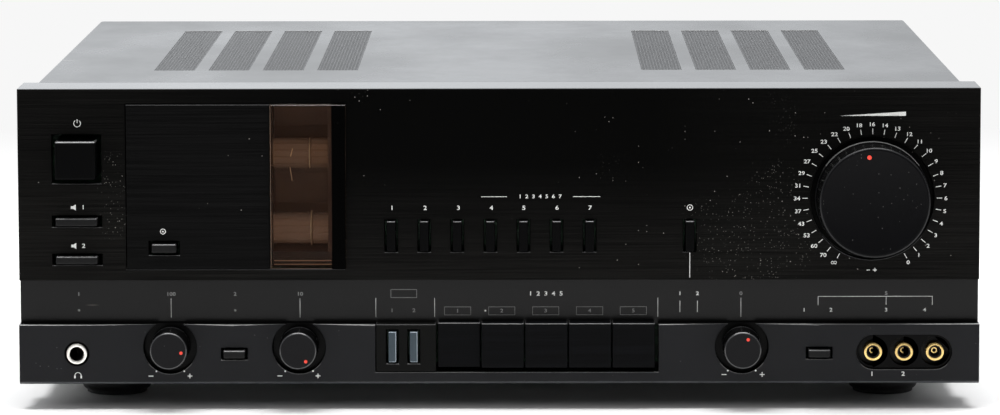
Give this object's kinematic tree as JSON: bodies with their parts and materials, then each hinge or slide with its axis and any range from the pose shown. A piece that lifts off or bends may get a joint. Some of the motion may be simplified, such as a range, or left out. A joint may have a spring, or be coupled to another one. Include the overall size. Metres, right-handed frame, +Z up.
{
  "type": "integrated amplifier",
  "caption": "Full-width integrated amplifier: black fascia with a smoked tube window, large volume knob, rows of push buttons, tone knobs, phones socket and line jacks, on feet.",
  "frame": {"origin": "bottom centre of the whole object's bounding box, on the surface that the feet rest on", "axes": "+X to the right of someone looking at the front, +Y from the front to the rear, +Z up"},
  "size_m": [0.438, 0.411, 0.1468],
  "materials": {
    "black_aluminium": "black anodised, brushed left to right",
    "satin_black_paint": "satin black paint",
    "dark_steel": "dark coated steel",
    "zinc_steel": "zinc plated",
    "black_plastic": "black, satin",
    "smoked_glass": "smoked brown, polished",
    "smoked_strip": "smoked grey, polished",
    "clear_glass": "clear",
    "copper": "copper plated, brushed",
    "frosted_plastic": "translucent blue grey",
    "circuit_board": "green lacquer",
    "grey_metal": "plain extruded",
    "gold": "gold plated",
    "silver": "nickel plated",
    "rubber": "black, matt",
    "core_iron": "varnished laminations",
    "can_sleeve": "dark blue sleeve over an aluminium can"
  },
  "bodies": {
    "amplifier": {"foot_front_left": "rubber", "foot_front_right": "rubber", "foot_rear_left": "rubber", "foot_rear_right": "rubber", "chassis_pan": "zinc_steel", "rear_panel": "satin_black_paint", "front_frame": "dark_steel", "top_cover": "satin_black_paint", "fascia": "black_aluminium", "inset_panel": "black_aluminium", "tube_window": "smoked_glass", "indicator_strip": "smoked_strip", "lower_panel": "black_aluminium", "av_block": "black_plastic", "volume_pot": "grey_metal", "upper_switch_board": "circuit_board", "lower_switch_board": "circuit_board", "headphone_jack": "silver", "front_jack_block": "gold", "tube_lower": "clear_glass", "tube_upper": "clear_glass", "tube_bracket": "copper", "transformer": "core_iron", "main_board": "circuit_board", "capacitor_left": "can_sleeve", "capacitor_right": "can_sleeve", "heat_sink_left": "grey_metal", "heat_sink_right": "grey_metal", "rear_jack_block": "black_plastic", "speaker_terminals": "black_plastic", "mains_inlet": "black_plastic"},
    "volume": {"volume_knob": "black_aluminium", "volume_shaft": "zinc_steel"},
    "bass": {"bass_knob": "black_plastic", "bass_shaft": "zinc_steel"},
    "treble": {"treble_knob": "black_plastic", "treble_shaft": "zinc_steel"},
    "balance": {"balance_knob": "black_plastic", "balance_shaft": "zinc_steel"},
    "power": {"power_button": "black_plastic"},
    "speaker_a": {"speaker_a_button": "black_plastic"},
    "speaker_b": {"speaker_b_button": "black_plastic"},
    "heater": {"heater_button": "black_plastic"},
    "record_1": {"record_button_1": "black_plastic"},
    "record_2": {"record_button_2": "black_plastic"},
    "record_3": {"record_button_3": "black_plastic"},
    "record_4": {"record_button_4": "black_plastic"},
    "record_5": {"record_button_5": "black_plastic"},
    "record_6": {"record_button_6": "black_plastic"},
    "record_7": {"record_button_7": "black_plastic"},
    "cartridge": {"cartridge_button": "black_plastic"},
    "tone": {"tone_button": "black_plastic"},
    "source": {"source_button": "black_plastic"},
    "av_1": {"av_button_1": "frosted_plastic"},
    "av_2": {"av_button_2": "frosted_plastic"},
    "input_1": {"input_button_1": "black_plastic"},
    "input_2": {"input_button_2": "black_plastic"},
    "input_3": {"input_button_3": "black_plastic"},
    "input_4": {"input_button_4": "black_plastic"},
    "input_5": {"input_button_5": "black_plastic"}
  },
  "joints": [
    {"name": "volume_turn", "type": "hinge", "parent": "amplifier", "child": "volume", "pos_m": [0.16999, -0.1865, 0.0964], "axis": [0, 1, 0], "range_deg": [-142.5, 157.5]},
    {"name": "bass_turn", "type": "hinge", "parent": "amplifier", "child": "bass", "pos_m": [-0.1501, -0.1865, 0.0287], "axis": [0, 1, 0], "range_deg": [-248.6, 51.4]},
    {"name": "treble_turn", "type": "hinge", "parent": "amplifier", "child": "treble", "pos_m": [-0.09128, -0.1865, 0.0287], "axis": [0, 1, 0], "range_deg": [-294, 6]},
    {"name": "balance_turn", "type": "hinge", "parent": "amplifier", "child": "balance", "pos_m": [0.11068, -0.1865, 0.0287], "axis": [0, 1, 0], "range_deg": [-175.5, 124.5]},
    {"name": "power_press", "type": "slide", "parent": "amplifier", "child": "power", "axis": [0, 1, 0], "range_m": [0, 0.004], "stiffness_N_per_m": 500},
    {"name": "speaker_a_press", "type": "slide", "parent": "amplifier", "child": "speaker_a", "axis": [0, 1, 0], "range_m": [0, 0.003], "stiffness_N_per_m": 300},
    {"name": "speaker_b_press", "type": "slide", "parent": "amplifier", "child": "speaker_b", "axis": [0, 1, 0], "range_m": [0, 0.003], "stiffness_N_per_m": 300},
    {"name": "heater_press", "type": "slide", "parent": "amplifier", "child": "heater", "axis": [0, 1, 0], "range_m": [0, 0.003], "stiffness_N_per_m": 300},
    {"name": "record_1_press", "type": "slide", "parent": "amplifier", "child": "record_1", "axis": [0, 1, 0], "range_m": [0, 0.0025], "stiffness_N_per_m": 300},
    {"name": "record_2_press", "type": "slide", "parent": "amplifier", "child": "record_2", "axis": [0, 1, 0], "range_m": [0, 0.0025], "stiffness_N_per_m": 300},
    {"name": "record_3_press", "type": "slide", "parent": "amplifier", "child": "record_3", "axis": [0, 1, 0], "range_m": [0, 0.0025], "stiffness_N_per_m": 300},
    {"name": "record_4_press", "type": "slide", "parent": "amplifier", "child": "record_4", "axis": [0, 1, 0], "range_m": [0, 0.0025], "stiffness_N_per_m": 300},
    {"name": "record_5_press", "type": "slide", "parent": "amplifier", "child": "record_5", "axis": [0, 1, 0], "range_m": [0, 0.0025], "stiffness_N_per_m": 300},
    {"name": "record_6_press", "type": "slide", "parent": "amplifier", "child": "record_6", "axis": [0, 1, 0], "range_m": [0, 0.0025], "stiffness_N_per_m": 300},
    {"name": "record_7_press", "type": "slide", "parent": "amplifier", "child": "record_7", "axis": [0, 1, 0], "range_m": [0, 0.0025], "stiffness_N_per_m": 300},
    {"name": "cartridge_press", "type": "slide", "parent": "amplifier", "child": "cartridge", "axis": [0, 1, 0], "range_m": [0, 0.0025], "stiffness_N_per_m": 300},
    {"name": "tone_press", "type": "slide", "parent": "amplifier", "child": "tone", "axis": [0, 1, 0], "range_m": [0, 0.0025], "stiffness_N_per_m": 300},
    {"name": "source_press", "type": "slide", "parent": "amplifier", "child": "source", "axis": [0, 1, 0], "range_m": [0, 0.0025], "stiffness_N_per_m": 300},
    {"name": "av_1_press", "type": "slide", "parent": "amplifier", "child": "av_1", "axis": [0, 1, 0], "range_m": [0, 0.0015], "stiffness_N_per_m": 300},
    {"name": "av_2_press", "type": "slide", "parent": "amplifier", "child": "av_2", "axis": [0, 1, 0], "range_m": [0, 0.0015], "stiffness_N_per_m": 300},
    {"name": "input_1_release", "type": "slide", "parent": "amplifier", "child": "input_1", "axis": [0, 1, 0], "range_m": [-0.0025, 0]},
    {"name": "input_2_press", "type": "slide", "parent": "amplifier", "child": "input_2", "axis": [0, 1, 0], "range_m": [0, 0.0025], "stiffness_N_per_m": 300},
    {"name": "input_3_press", "type": "slide", "parent": "amplifier", "child": "input_3", "axis": [0, 1, 0], "range_m": [0, 0.0025], "stiffness_N_per_m": 300},
    {"name": "input_4_press", "type": "slide", "parent": "amplifier", "child": "input_4", "axis": [0, 1, 0], "range_m": [0, 0.0025], "stiffness_N_per_m": 300},
    {"name": "input_5_press", "type": "slide", "parent": "amplifier", "child": "input_5", "axis": [0, 1, 0], "range_m": [0, 0.0025], "stiffness_N_per_m": 300}
  ]
}
